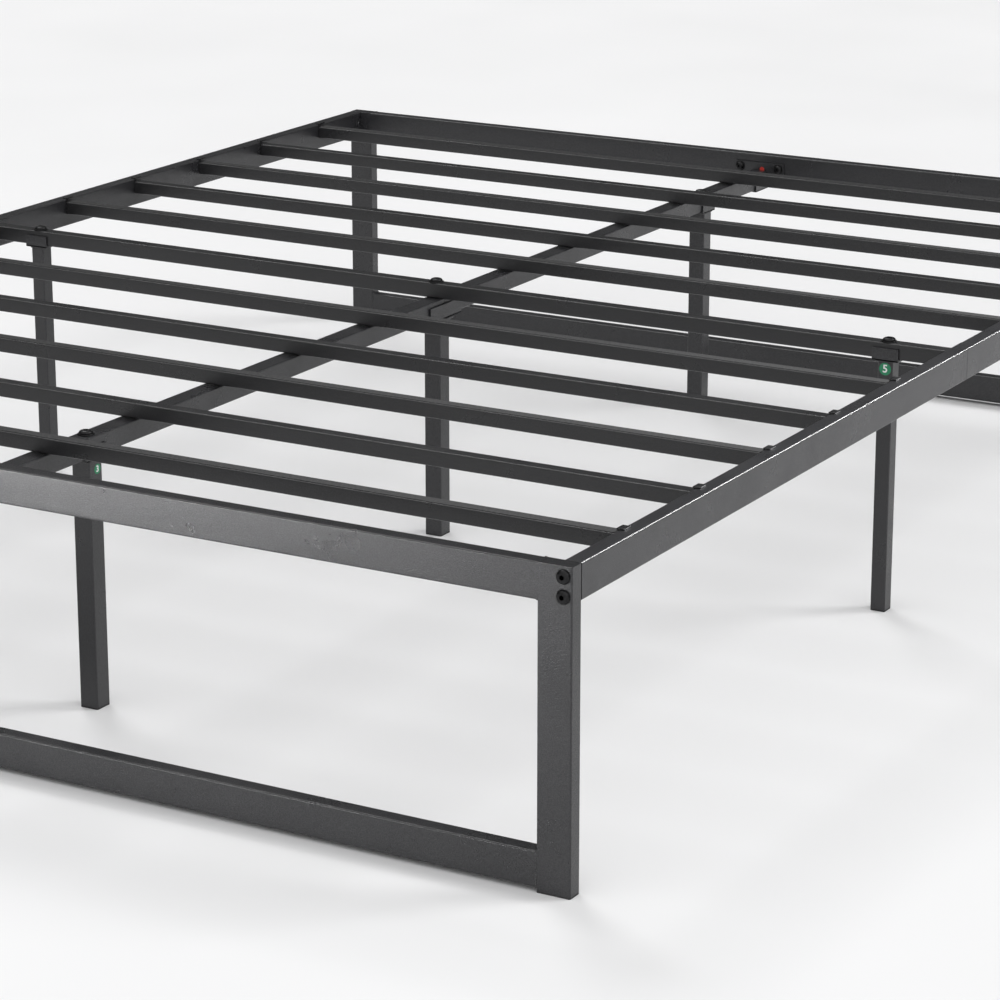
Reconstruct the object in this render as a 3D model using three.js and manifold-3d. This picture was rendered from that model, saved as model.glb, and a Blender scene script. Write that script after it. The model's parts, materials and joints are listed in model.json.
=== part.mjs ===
// Queen-size steel platform bed frame: two welded end frames, split side rails,
// eleven cross slats, a split centre beam, five support legs and their fasteners.
// Millimetres. X runs along the slats, Y from foot to head, Z up from the floor.

import * as THREE from 'three';
import { mergeVertices } from 'three/addons/utils/BufferGeometryUtils.js';
import Module from 'manifold-3d';

const wasm = await Module();
wasm.setup();

// ---------------------------------------------------------------- driving dimensions

const FRAME_WIDTH = 1524;
const FRAME_LENGTH = 2032;
const FRAME_HEIGHT = 355.6;
const FIT_GAP = 0.3;          // between pieces that touch
const WELD_BITE = 0.5;        // how far welded parts of one piece run into each other

const POST = { width: 40, depth: 20, wall: 1.5, radius: 2 };
const TOP_RAIL = { height: 40, depth: 20, wall: 1.5, radius: 2 };
const STRETCHER = { height: 40, depth: 20, wall: 1.5, radius: 2, lift: 5.5 };
const SIDE_RAIL = { width: 20, height: 40, wall: 1.5, radius: 2, endPlate: 3 };
const POST_CAP = { flange: 1.5, plug: 15 };

const SLAT = { depth: 18, height: 18, wall: 1.2, radius: 1.5, drop: 4 };
const MIDDLE_SLAT = { depth: 20, deeper: 2, wall: 1.5, radius: 1.5 };   // deeper than the other slats
const SLATS_PER_HALF = 5;
const FIRST_SLAT_PITCH = 182.5;     // middle slat to its neighbours
const END_SLAT_INSET = 141.9;       // frame end to the outermost slat
const TAB = { width: 14, thickness: 1.5, riser: 2, reach: 7 };

const BEAM = { width: 25, height: 25, wall: 1.5, radius: 2 };
const BEAM_BRACKET = {
  width: 84, plateHeight: 17, plateRise: 12.5, sheet: 3, cheek: 2, cradle: 40, cheekHeight: 18,
};
const BEAM_SPLICE = { length: 80, sheet: 2.4, height: 18 };
const RAIL_SPLICE = { length: 68, height: 36, sheet: 2.5 };

const SIDE_SUPPORT = { size: 20, wall: 1.5, radius: 1.5, inset: 105, saddleLength: 36 };
const BEAM_SUPPORT = { size: 25, wall: 1.5, radius: 2, saddleLength: 40 };
const SADDLE = { sheet: 3, cheek: 2, cheekHeight: 14 };
const SUPPORT_FOOT = { flange: 1.5, plug: 15 };

const CORNER_BOLT = { head: 8, headHeight: 4, socket: 3, socketDepth: 2, shank: 4, length: 36 };
const CORNER_BOLT_DROPS = { upper: 11, lower: 32 };   // below the top of the side rail
const SUPPORT_BOLT = { head: 10, headHeight: 5, socket: 3, socketDepth: 2, shank: 4, engagement: 12 };
const HOLE_CLEARANCE = 0.4;
const DOME = { rim: 0.4, crown: 0.72, shoulder: 0.92 };   // shares of a head's height and radius

const ROUND_SEGMENTS = 16;
const CORNER_SEGMENTS = 1;

// ---------------------------------------------------------------- derived places

const halfWidth = FRAME_WIDTH / 2;
const halfLength = FRAME_LENGTH / 2;
const postBottom = POST_CAP.flange + FIT_GAP;
const railInnerX = halfWidth - SIDE_RAIL.width;
const railCentreX = halfWidth - SIDE_RAIL.width / 2;
const railCentreZ = FRAME_HEIGHT - SIDE_RAIL.height / 2;
const endRailInnerY = halfLength - TOP_RAIL.depth;
const slatTop = FRAME_HEIGHT - SLAT.drop;
const middleSlatHeight = SLAT.height + MIDDLE_SLAT.deeper;
const middleSlatBottom = slatTop - middleSlatHeight;
const beamTop = middleSlatBottom - FIT_GAP;
const beamBottom = beamTop - BEAM.height;
const endSlatY = halfLength - END_SLAT_INSET;
const slatPitch = (endSlatY - FIRST_SLAT_PITCH) / (SLATS_PER_HALF - 1);
const supportY = endSlatY - slatPitch / 2;
const supportX = halfWidth - SIDE_SUPPORT.inset;
const spliceInnerX = railInnerX - FIT_GAP - RAIL_SPLICE.sheet;

// ---------------------------------------------------------------- finishes

const powderCoat = () => new THREE.MeshStandardMaterial({ color: 0x2c2d2f, roughness: 0.5, metalness: 0.35 });
const boltSteel = () => new THREE.MeshStandardMaterial({ color: 0x151516, roughness: 0.4, metalness: 0.6 });
const capPlastic = () => new THREE.MeshStandardMaterial({ color: 0x161617, roughness: 0.7, metalness: 0 });

// ---------------------------------------------------------------- solids

function toSolid(geometry) {
  const bare = geometry.clone();
  bare.deleteAttribute('normal');
  bare.deleteAttribute('uv');
  const merged = mergeVertices(bare, 1e-4);
  return new wasm.Manifold(new wasm.Mesh({
    numProp: 3,
    vertProperties: new Float32Array(merged.attributes.position.array),
    triVerts: new Uint32Array(merged.index.array),
  }));
}

function toGeometry(solid) {
  const mesh = solid.getMesh();
  const geometry = new THREE.BufferGeometry();
  geometry.setAttribute('position', new THREE.BufferAttribute(new Float32Array(mesh.vertProperties), 3));
  geometry.setIndex(new THREE.BufferAttribute(new Uint32Array(mesh.triVerts), 1));
  geometry.computeVertexNormals();
  return geometry;
}

// A box between two corners.
function block(low, high) {
  const size = high.map((value, axis) => value - low[axis]);
  const centre = high.map((value, axis) => (value + low[axis]) / 2);
  return toSolid(new THREE.BoxGeometry(...size).translate(...centre));
}

const weld = (first, ...others) => others.reduce((joined, other) => joined.add(other), first);

function roundedOutline(path, width, height, radius) {
  const x = width / 2 - radius;
  const y = height / 2 - radius;
  path.absarc(x, y, radius, 0, Math.PI / 2);
  path.absarc(-x, y, radius, Math.PI / 2, Math.PI);
  path.absarc(-x, -y, radius, Math.PI, 1.5 * Math.PI);
  path.absarc(x, -y, radius, 1.5 * Math.PI, 2 * Math.PI);
  path.closePath();
  return path;
}

// Turns a length that runs along local Z so that it runs along the named axis.
function turned(geometry, axis) {
  if (axis === 'x') return geometry.rotateY(Math.PI / 2);
  if (axis === 'y') return geometry.rotateX(-Math.PI / 2);
  return geometry;
}

// Section sizes are given as they stand before turning: [width, height] across local X and Y.
function tube([width, height], wall, radius, length, axis) {
  const outline = roundedOutline(new THREE.Shape(), width, height, radius);
  const boreRadius = Math.max(radius - wall, WELD_BITE);
  outline.holes.push(roundedOutline(new THREE.Path(), width - 2 * wall, height - 2 * wall, boreRadius));
  const options = { depth: length, bevelEnabled: false, curveSegments: CORNER_SEGMENTS };
  const geometry = new THREE.ExtrudeGeometry(outline, options).translate(0, 0, -length / 2);
  return toSolid(turned(geometry, axis));
}

function bar([width, height], radius, length, axis) {
  const outline = roundedOutline(new THREE.Shape(), width, height, radius);
  const options = { depth: length, bevelEnabled: false, curveSegments: CORNER_SEGMENTS };
  const geometry = new THREE.ExtrudeGeometry(outline, options).translate(0, 0, -length / 2);
  return toSolid(turned(geometry, axis));
}

// A round hole along an axis ('y' or 'z') through the point given.
function drill(radius, length, axis, at) {
  const hole = new THREE.CylinderGeometry(radius, radius, length, ROUND_SEGMENTS);
  if (axis === 'z') hole.rotateX(Math.PI / 2);
  return toSolid(hole.translate(...at));
}

// A button-head bolt along +Y from its seat at the origin; the head stands on the -Y side.
function boltGeometry({ head, headHeight, socket, socketDepth, shank }, length) {
  const rim = headHeight * DOME.rim;
  const crown = head * DOME.crown;
  const shoulder = head * DOME.shoulder;
  const profile = [
    [0, -headHeight + socketDepth], [socket, -headHeight + socketDepth], [socket, -headHeight],
    [crown, -headHeight], [shoulder, -(headHeight + rim) / 2], [head, -rim], [head, 0],
    [shank, 0], [shank, length], [0, length],
  ].map(([radius, y]) => new THREE.Vector2(radius, y));
  return new THREE.LatheGeometry(profile, ROUND_SEGMENTS);
}

// ---------------------------------------------------------------- the assembly

const group = new THREE.Group();

function place(parent, name, geometry, material, position, turnZ = 0) {
  const mesh = new THREE.Mesh(geometry, material);
  mesh.name = name;
  mesh.position.set(...position);
  mesh.rotation.z = turnZ;
  parent.add(mesh);
}

const ENDS = { foot: -1, head: 1 };
const SIDES = { left: -1, right: 1 };

// Welded end frame: two legs, a top rail and a stretcher between them, and the leg caps.
function endFrame(end, sign) {
  const frame = new THREE.Group();
  frame.position.y = sign * (halfLength - POST.depth / 2);
  const postHeight = FRAME_HEIGHT - postBottom;
  const innerLength = FRAME_WIDTH - 2 * (POST.width + FIT_GAP);
  for (const [side, x] of Object.entries(SIDES)) {
    const name = `${end}_leg_${side}`;
    const walls = tube([POST.width, POST.depth], POST.wall, POST.radius, postHeight, 'z');
    const lid = bar([POST.width, POST.depth], POST.radius, POST.wall, 'z')
      .translate(0, 0, (postHeight - POST.wall) / 2);
    const boltX = x * (railCentreX - (halfWidth - POST.width / 2));
    const holes = Object.values(CORNER_BOLT_DROPS).map((drop) => drill(
      CORNER_BOLT.shank + HOLE_CLEARANCE, 2 * POST.depth, 'y', [boltX, 0, postHeight / 2 - drop]));
    const leg = holes.reduce((solid, hole) => solid.subtract(hole), weld(walls, lid));
    const legX = x * (halfWidth - POST.width / 2);
    place(frame, name, toGeometry(leg), powderCoat(), [legX, 0, postBottom + postHeight / 2]);

    const flange = bar([POST.width, POST.depth], POST.radius, POST_CAP.flange, 'z')
      .translate(0, 0, POST_CAP.flange / 2);
    const boreInset = 2 * (POST.wall + FIT_GAP);
    const plugHeight = POST_CAP.plug + WELD_BITE;
    const plug = bar([POST.width - boreInset, POST.depth - boreInset], WELD_BITE, plugHeight, 'z')
      .translate(0, 0, POST_CAP.flange - WELD_BITE + plugHeight / 2);
    place(frame, `${name}_cap`, toGeometry(weld(flange, plug)), capPlastic(), [legX, 0, 0]);
  }
  const topRail = tube([TOP_RAIL.height, TOP_RAIL.depth], TOP_RAIL.wall, TOP_RAIL.radius, innerLength, 'x');
  const topZ = FRAME_HEIGHT - TOP_RAIL.height / 2;
  place(frame, `${end}_top_rail`, toGeometry(topRail), powderCoat(), [0, 0, topZ]);
  const low = tube([STRETCHER.height, STRETCHER.depth], STRETCHER.wall, STRETCHER.radius, innerLength, 'x');
  const lowZ = STRETCHER.lift + STRETCHER.height / 2;
  place(frame, `${end}_stretcher`, toGeometry(low), powderCoat(), [0, 0, lowZ]);
  group.add(frame);
}

// Half of a side rail, closed at its leg end by a drilled plate for the corner bolts.
function sideRailHalf(side, x, end, sign) {
  const length = halfLength - POST.depth - FIT_GAP - FIT_GAP / 2;
  const walls = tube([SIDE_RAIL.width, SIDE_RAIL.height], SIDE_RAIL.wall, SIDE_RAIL.radius, length, 'y');
  const plateY = sign * (length - SIDE_RAIL.endPlate) / 2;
  const inset = 2 * (SIDE_RAIL.wall - WELD_BITE);
  const plate = bar([SIDE_RAIL.width - inset, SIDE_RAIL.height - inset], WELD_BITE, SIDE_RAIL.endPlate, 'y')
    .translate(0, plateY, 0);
  const holes = Object.values(CORNER_BOLT_DROPS).map((drop) => drill(
    CORNER_BOLT.shank + HOLE_CLEARANCE, 2 * POST.depth, 'y', [0, plateY, SIDE_RAIL.height / 2 - drop]));
  const rail = holes.reduce((solid, hole) => solid.subtract(hole), weld(walls, plate));
  const position = [x * railCentreX, sign * (FIT_GAP / 2 + length / 2), railCentreZ];
  place(group, `side_rail_${side}_${end}_half`, toGeometry(rail), powderCoat(), position);
}

function cornerBolt(side, x, end, sign, level, drop) {
  const geometry = boltGeometry(CORNER_BOLT, CORNER_BOLT.length);
  const position = [x * railCentreX, sign * (halfLength + FIT_GAP), FRAME_HEIGHT - drop];
  const turn = sign > 0 ? Math.PI : 0;
  place(group, `corner_bolt_${end}_${side}_${level}`, geometry, boltSteel(), position, turn);
}

function railSplice(side, x) {
  const size = [RAIL_SPLICE.sheet, RAIL_SPLICE.length, RAIL_SPLICE.height];
  const geometry = new THREE.BoxGeometry(...size);
  const position = [x * (spliceInnerX + RAIL_SPLICE.sheet / 2), 0, railCentreZ];
  place(group, `rail_splice_${side}`, geometry, powderCoat(), position);
}

// A slat tube with a bent tab at each end that lies on top of the side rail.
function slat(name, y) {
  const end = railInnerX - FIT_GAP;
  const walls = tube([SLAT.height, SLAT.depth], SLAT.wall, SLAT.radius, 2 * end, 'x')
    .translate(0, 0, -SLAT.height / 2);
  const tabTop = SLAT.drop + FIT_GAP + TAB.thickness;
  const halfTab = TAB.width / 2;
  const parts = Object.values(SIDES).flatMap((x) => {
    const inner = end - TAB.riser;
    const tip = end + FIT_GAP + TAB.reach;
    const spans = [[inner, end, -SLAT.wall / 2, tabTop], [inner, tip, tabTop - TAB.thickness, tabTop]];
    return spans.map(([near, far, low, high]) => {
      const [lowX, highX] = x > 0 ? [near, far] : [-far, -near];
      return block([lowX, -halfTab, low], [highX, halfTab, high]);
    });
  });
  place(group, name, toGeometry(weld(walls, ...parts)), powderCoat(), [0, y, slatTop]);
}

// The middle slat is a heavier and deeper tube, drilled for the three support bolts, between the rail splices.
function middleSlat(name) {
  const length = 2 * (spliceInnerX - FIT_GAP);
  const section = [middleSlatHeight, MIDDLE_SLAT.depth];
  const walls = tube(section, MIDDLE_SLAT.wall, MIDDLE_SLAT.radius, length, 'x')
    .translate(0, 0, -middleSlatHeight / 2);
  const hole = SUPPORT_BOLT.shank + HOLE_CLEARANCE;
  const drilled = [-supportX, 0, supportX].reduce(
    (solid, x) => solid.subtract(drill(hole, 3 * middleSlatHeight, 'z', [x, 0, 0])), walls);
  place(group, name, toGeometry(drilled), powderCoat(), [0, 0, slatTop]);
}

// Half of the centre beam, from its end bracket to the middle, drilled for its support bolts.
function beamHalf(end, sign) {
  const outer = endRailInnerY - FIT_GAP - BEAM_BRACKET.sheet - FIT_GAP;
  const length = outer - FIT_GAP / 2;
  const centre = FIT_GAP / 2 + length / 2;
  const walls = tube([BEAM.width, BEAM.height], BEAM.wall, BEAM.radius, length, 'y');
  const hole = SUPPORT_BOLT.shank + HOLE_CLEARANCE;
  const drilled = [0, supportY].reduce(
    (solid, y) => solid.subtract(drill(hole, 3 * BEAM.height, 'z', [0, sign * (y - centre), 0])), walls);
  const position = [0, sign * centre, beamTop - BEAM.height / 2];
  place(group, `centre_beam_${end}_half`, toGeometry(drilled), powderCoat(), position);
}

// A U of sheet metal that opens upwards: its floor lies under what it holds, its cheeks beside it.
function channel(inner, length, floor, cheek, cheekHeight) {
  const outer = inner / 2 + FIT_GAP + cheek;
  const base = block([-outer, -length / 2, -floor], [outer, length / 2, 0]);
  const walls = Object.values(SIDES).map((x) => {
    const [lowX, highX] = x > 0 ? [outer - cheek, outer] : [-outer, cheek - outer];
    return block([lowX, -length / 2, -floor / 2], [highX, length / 2, cheekHeight]);
  });
  return weld(base, ...walls);
}

function beamSplice() {
  const { length, sheet, height } = BEAM_SPLICE;
  const hole = SUPPORT_BOLT.shank + HOLE_CLEARANCE;
  const sleeve = channel(BEAM.width, length, sheet, sheet, height)
    .subtract(drill(hole, 3 * BEAM.height, 'z', [0, 0, 0]));
  place(group, 'beam_splice', toGeometry(sleeve), powderCoat(), [0, 0, beamBottom - FIT_GAP]);
}

// Bracket bolted to an end frame's top rail, with a cradle that holds the beam's end.
function beamBracket(end, sign) {
  const { width, plateHeight, plateRise, sheet, cheek, cradle, cheekHeight } = BEAM_BRACKET;
  const plateTop = BEAM.height + FIT_GAP + plateRise;
  const plate = block([-width / 2, 0, plateTop - plateHeight], [width / 2, sheet, plateTop]);
  const outer = BEAM.width / 2 + FIT_GAP + cheek;
  const drop = block([-outer, 0, -cheek], [outer, sheet, plateTop]);
  const reach = sheet + cradle;
  const holder = channel(BEAM.width, reach, cheek, cheek, cheekHeight).translate(0, reach / 2, 0);
  const turn = sign > 0 ? Math.PI : 0;
  const position = [0, sign * (endRailInnerY - FIT_GAP), beamBottom - FIT_GAP];
  place(group, `beam_bracket_${end}`, toGeometry(weld(plate, drop, holder)), powderCoat(), position, turn);
}

// A support leg: tube with a lid and a saddle on top, its moulded foot, and the bolt that holds it.
function supportLeg({ name, spec, at, seat, held, boltSeat, saddleAlong, open }) {
  const bottom = SUPPORT_FOOT.flange + FIT_GAP;
  const lidTop = seat - FIT_GAP;
  const height = lidTop - SADDLE.sheet - bottom;
  const walls = tube([spec.size, spec.size], spec.wall, spec.radius, height + WELD_BITE, 'z')
    .translate(0, 0, bottom + (height + WELD_BITE) / 2);
  const cheekHeight = open ? 0 : SADDLE.cheekHeight;
  let saddle = channel(held, spec.saddleLength, SADDLE.sheet, SADDLE.cheek, cheekHeight);
  if (saddleAlong === 'x') saddle = saddle.rotate([0, 0, 90]);
  const boltHole = drill(SUPPORT_BOLT.shank + HOLE_CLEARANCE, 4 * SADDLE.sheet, 'z', [0, 0, lidTop]);
  const leg = weld(walls, saddle.translate(0, 0, lidTop)).subtract(boltHole);
  place(group, `support_leg_${name}`, toGeometry(leg), powderCoat(), [at[0], at[1], 0]);

  const flange = bar([spec.size, spec.size], spec.radius, SUPPORT_FOOT.flange, 'z')
    .translate(0, 0, SUPPORT_FOOT.flange / 2);
  const plugSize = spec.size - 2 * (spec.wall + FIT_GAP);
  const plugHeight = SUPPORT_FOOT.plug + WELD_BITE;
  const plug = bar([plugSize, plugSize], WELD_BITE, plugHeight, 'z')
    .translate(0, 0, SUPPORT_FOOT.flange - WELD_BITE + plugHeight / 2);
  place(group, `support_foot_${name}`, toGeometry(weld(flange, plug)), capPlastic(), [at[0], at[1], 0]);

  const boltLength = boltSeat - lidTop + SUPPORT_BOLT.engagement + FIT_GAP;
  const bolt = boltGeometry(SUPPORT_BOLT, boltLength).rotateX(-Math.PI / 2);
  place(group, `support_bolt_${name}`, bolt, boltSteel(), [at[0], at[1], boltSeat + FIT_GAP]);
}

function supports() {
  for (const [side, x] of Object.entries(SIDES)) {
    supportLeg({ name: side, spec: SIDE_SUPPORT, at: [x * supportX, 0], seat: middleSlatBottom,
      held: MIDDLE_SLAT.depth, boltSeat: slatTop, saddleAlong: 'x' });
  }
  for (const [end, sign] of Object.entries(ENDS)) {
    supportLeg({ name: end, spec: BEAM_SUPPORT, at: [0, sign * supportY], seat: beamBottom,
      held: BEAM.width, boltSeat: beamTop, saddleAlong: 'y' });
  }
  supportLeg({ name: 'middle', spec: BEAM_SUPPORT, at: [0, 0], seat: beamBottom - FIT_GAP - BEAM_SPLICE.sheet,
    held: BEAM.width, boltSeat: slatTop, saddleAlong: 'y', open: true });
}

for (const [end, sign] of Object.entries(ENDS)) {
  endFrame(end, sign);
  beamHalf(end, sign);
  beamBracket(end, sign);
  for (const [side, x] of Object.entries(SIDES)) {
    sideRailHalf(side, x, end, sign);
    for (const [level, drop] of Object.entries(CORNER_BOLT_DROPS)) {
      cornerBolt(side, x, end, sign, level, drop);
    }
  }
}
for (const [side, x] of Object.entries(SIDES)) railSplice(side, x);
beamSplice();
supports();

const middleNumber = SLATS_PER_HALF + 1;
const slatName = (number) => `slat_${String(number).padStart(2, '0')}`;
middleSlat(slatName(middleNumber));
for (let step = 0; step < SLATS_PER_HALF; step += 1) {
  const y = FIRST_SLAT_PITCH + step * slatPitch;
  slat(slatName(middleNumber - 1 - step), y);
  slat(slatName(middleNumber + 1 + step), -y);
}

export default group;
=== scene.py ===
"""Looks of the metal platform bed frame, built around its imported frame.

Every piece takes its place from the frame's own boxes. Sizes are in metres.
"""

import json
import logging
import math
import random
from dataclasses import dataclass, field
from enum import Enum

import bmesh
import bpy
from mathutils import Euler, Matrix, Vector

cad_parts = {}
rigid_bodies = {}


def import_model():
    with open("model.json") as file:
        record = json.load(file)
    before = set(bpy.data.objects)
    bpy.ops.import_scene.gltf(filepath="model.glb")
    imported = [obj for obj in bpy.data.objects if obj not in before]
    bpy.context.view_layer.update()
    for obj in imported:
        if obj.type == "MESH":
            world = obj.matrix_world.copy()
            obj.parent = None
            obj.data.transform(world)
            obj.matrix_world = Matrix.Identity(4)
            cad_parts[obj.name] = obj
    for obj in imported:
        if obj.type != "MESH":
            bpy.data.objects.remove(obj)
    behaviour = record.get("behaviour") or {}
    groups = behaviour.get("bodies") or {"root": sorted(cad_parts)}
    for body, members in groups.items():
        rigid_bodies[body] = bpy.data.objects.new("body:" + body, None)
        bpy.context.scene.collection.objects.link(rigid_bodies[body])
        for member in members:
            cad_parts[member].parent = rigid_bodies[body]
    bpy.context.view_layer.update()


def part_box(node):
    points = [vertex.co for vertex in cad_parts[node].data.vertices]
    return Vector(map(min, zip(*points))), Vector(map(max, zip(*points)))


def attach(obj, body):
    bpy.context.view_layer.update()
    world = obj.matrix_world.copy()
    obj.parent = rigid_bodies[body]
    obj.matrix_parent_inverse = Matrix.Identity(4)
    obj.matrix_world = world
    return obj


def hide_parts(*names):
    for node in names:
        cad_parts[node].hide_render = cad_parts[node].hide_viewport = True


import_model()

BODY = "root"
MM = 0.001
FIT_GAP = 0.3 * MM                  # between pieces that touch
SMOOTH_ANGLE = math.radians(38)
ROUND = 28                          # corners of a turned ring
ALONG = 0.99                        # share of a unit vector that counts as along an axis
NOISE_RANGE = (0.3, 0.7)            # where most of a noise pattern's values lie
LOG = logging.getLogger("bed_frame")


class Slot(Enum):
    """The record's material slots."""

    FRAME = "frame_coat"
    SLAT = "slat_coat"
    BOLT = "bolt_steel"
    PLASTIC = "foot_plastic"


class Axis(Enum):
    """The direction that a tube runs in."""

    X = 0
    Y = 1
    Z = 2


# ------------------------------------------------------------------ finishes


class NodeSheet:
    """A small helper that fills a material's node tree."""

    def __init__(self, name: str) -> None:
        """Starts a material with one Principled shader."""
        self.material = bpy.data.materials.new(name)
        self.material.use_nodes = True
        self.tree = self.material.node_tree
        self.shader = self.tree.nodes["Principled BSDF"]
        self.place = self.add("ShaderNodeTexCoord").outputs["Object"]

    def add(self, kind: str, **values: object) -> bpy.types.Node:
        """Adds a node.

        Args:
            kind: The node's type name.
            values: Attributes set on the node.
        Returns:
            The new node.
        """
        node = self.tree.nodes.new(kind)
        for key, value in values.items():
            setattr(node, key, value)
        return node

    def link(self, source: bpy.types.NodeSocket, target: bpy.types.NodeSocket) -> None:
        """Joins two sockets."""
        self.tree.links.new(source, target)

    def noise(self, scale: float, detail: float = 3.0, roughness: float = 0.55) -> bpy.types.NodeSocket:
        """Adds a noise pattern on the piece's own coordinates.

        Args:
            scale: Pattern repeats per metre.
            detail: Number of octaves.
            roughness: How strong the fine octaves are.
        Returns:
            The pattern's value socket.
        """
        node = self.add("ShaderNodeTexNoise")
        node.inputs["Scale"].default_value = scale
        node.inputs["Detail"].default_value = detail
        node.inputs["Roughness"].default_value = roughness
        self.link(self.place, node.inputs["Vector"])
        return node.outputs["Fac"]

    def paint(self, value: bpy.types.NodeSocket, *stops: tuple[float, tuple]) -> None:
        """Colours the surface by a value.

        Args:
            value: The socket that drives the colour.
            stops: Pairs of position and RGB colour.
        """
        node = self.add("ShaderNodeValToRGB")
        stop_list = node.color_ramp.elements
        for stop, (position, colour) in zip(stop_list, stops, strict=True):
            stop.position = position
            stop.color = (*colour, 1.0)
        self.link(value, node.inputs["Fac"])
        self.link(node.outputs["Color"], self.shader.inputs["Base Color"])

    def gloss(self, value: bpy.types.NodeSocket, low: float, high: float) -> None:
        """Varies the surface's roughness by a noise value.

        Args:
            value: The noise socket.
            low: Roughness at the noise's low end.
            high: Roughness at the noise's high end.
        """
        node = self.add("ShaderNodeMapRange")
        node.inputs["From Min"].default_value, node.inputs["From Max"].default_value = NOISE_RANGE
        node.inputs["To Min"].default_value = low
        node.inputs["To Max"].default_value = high
        self.link(value, node.inputs["Value"])
        self.link(node.outputs["Result"], self.shader.inputs["Roughness"])

    def relief(self, *layers: tuple[bpy.types.NodeSocket, float, float]) -> None:
        """Raises the surface with bump layers, the lowest first.

        Args:
            layers: For each layer its height pattern, its height in metres and its strength.
        """
        normal = None
        for height, distance, strength in layers:
            node = self.add("ShaderNodeBump")
            node.inputs["Distance"].default_value = distance
            node.inputs["Strength"].default_value = strength
            self.link(height, node.inputs["Height"])
            if normal is not None:
                self.link(normal, node.inputs["Normal"])
            normal = node.outputs["Normal"]
        self.link(normal, self.shader.inputs["Normal"])


@dataclass(frozen=True)
class PowderCoat:
    """Satin black powder coat: fine grain over a soft orange peel, cloudy in gloss."""

    name: str = "satin_powder_coat"
    dark: tuple = (0.004, 0.004, 0.0048)
    light: tuple = (0.032, 0.032, 0.035)
    rough: tuple = (0.25, 0.37)
    specular: float = 0.56
    grain: float = 700.0
    peel: float = 420.0
    cloud: float = 14.0
    peel_relief: tuple = (0.12 * MM, 0.35)
    grain_relief: tuple = (0.7 * MM, 0.5)

    def build(self) -> bpy.types.Material:
        """Makes the material."""
        sheet = NodeSheet(self.name)
        grain = sheet.noise(self.grain, 3.0, 0.7)
        peel = sheet.noise(self.peel, 2.0, 0.5)
        cloud = sheet.noise(self.cloud, 4.0, 0.6)
        sheet.paint(grain, (0.35, self.dark), (0.68, self.light))
        sheet.gloss(cloud, *self.rough)
        sheet.relief((peel, *self.peel_relief), (grain, *self.grain_relief))
        sheet.shader.inputs["Specular IOR Level"].default_value = self.specular
        return sheet.material


@dataclass(frozen=True)
class BlackOxide:
    """Black oxide on turned steel: dark, a little oily, with faint tool marks."""

    name: str = "black_oxide_steel"
    dark: tuple = (0.006, 0.006, 0.0065)
    light: tuple = (0.018, 0.018, 0.019)
    rough: tuple = (0.28, 0.45)
    smudge: float = 240.0
    marks: float = 1900.0

    def build(self) -> bpy.types.Material:
        """Makes the material."""
        sheet = NodeSheet(self.name)
        smudge = sheet.noise(self.smudge, 4.0, 0.6)
        sheet.paint(smudge, (0.35, self.dark), (0.7, self.light))
        sheet.gloss(smudge, *self.rough)
        sheet.relief((sheet.noise(self.marks, 2.0, 0.5), 0.04 * MM, 0.4))
        sheet.shader.inputs["Metallic"].default_value = 0.6
        return sheet.material


@dataclass(frozen=True)
class MouldedPlastic:
    """Matte black moulded plastic with a spark-eroded texture."""

    name: str = "moulded_black_plastic"
    dark: tuple = (0.009, 0.009, 0.0095)
    light: tuple = (0.022, 0.022, 0.023)
    rough: tuple = (0.55, 0.75)
    spark: float = 1500.0
    scuff: float = 60.0

    def build(self) -> bpy.types.Material:
        """Makes the material."""
        sheet = NodeSheet(self.name)
        spark = sheet.noise(self.spark, 3.0, 0.65)
        sheet.paint(sheet.noise(self.scuff, 5.0, 0.7), (0.4, self.dark), (0.72, self.light))
        sheet.gloss(spark, *self.rough)
        sheet.relief((spark, 0.08 * MM, 0.5))
        return sheet.material


@dataclass(frozen=True)
class GripTape:
    """Dark woven grip strip that keeps a mattress from sliding."""

    name: str = "grip_strip"
    dark: tuple = (0.005, 0.005, 0.0055)
    light: tuple = (0.02, 0.02, 0.021)
    rough: tuple = (0.6, 0.85)
    weave: float = 900.0
    wear: float = 300.0

    def build(self) -> bpy.types.Material:
        """Makes the material."""
        sheet = NodeSheet(self.name)
        weave = sheet.add("ShaderNodeTexVoronoi")
        weave.inputs["Scale"].default_value = self.weave
        sheet.link(sheet.place, weave.inputs["Vector"])
        knots = weave.outputs["Distance"]
        sheet.paint(knots, (0.1, self.light), (0.7, self.dark))
        sheet.gloss(sheet.noise(self.wear), *self.rough)
        sheet.relief((knots, 0.2 * MM, 0.5))
        return sheet.material


@dataclass(frozen=True)
class PaintedEdgeHighlight:
    """Painted highlight on a slat tab's cut end: a bright, mottled metallic sliver that stands for the light
    the edge catches.
    """

    name: str = "bare_cut_edge"
    dark: tuple = (0.09, 0.09, 0.092)
    light: tuple = (0.3, 0.3, 0.31)
    rough: tuple = (0.3, 0.5)
    highlight_mottle: float = 1100.0

    def build(self) -> bpy.types.Material:
        """Makes the material."""
        sheet = NodeSheet(self.name)
        highlight_mottle = sheet.noise(self.highlight_mottle, 4.0, 0.7)
        sheet.paint(highlight_mottle, (0.35, self.dark), (0.7, self.light))
        sheet.gloss(highlight_mottle, *self.rough)
        sheet.relief((highlight_mottle, 0.1 * MM, 0.5))
        sheet.shader.inputs["Metallic"].default_value = 0.7
        return sheet.material


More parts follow.
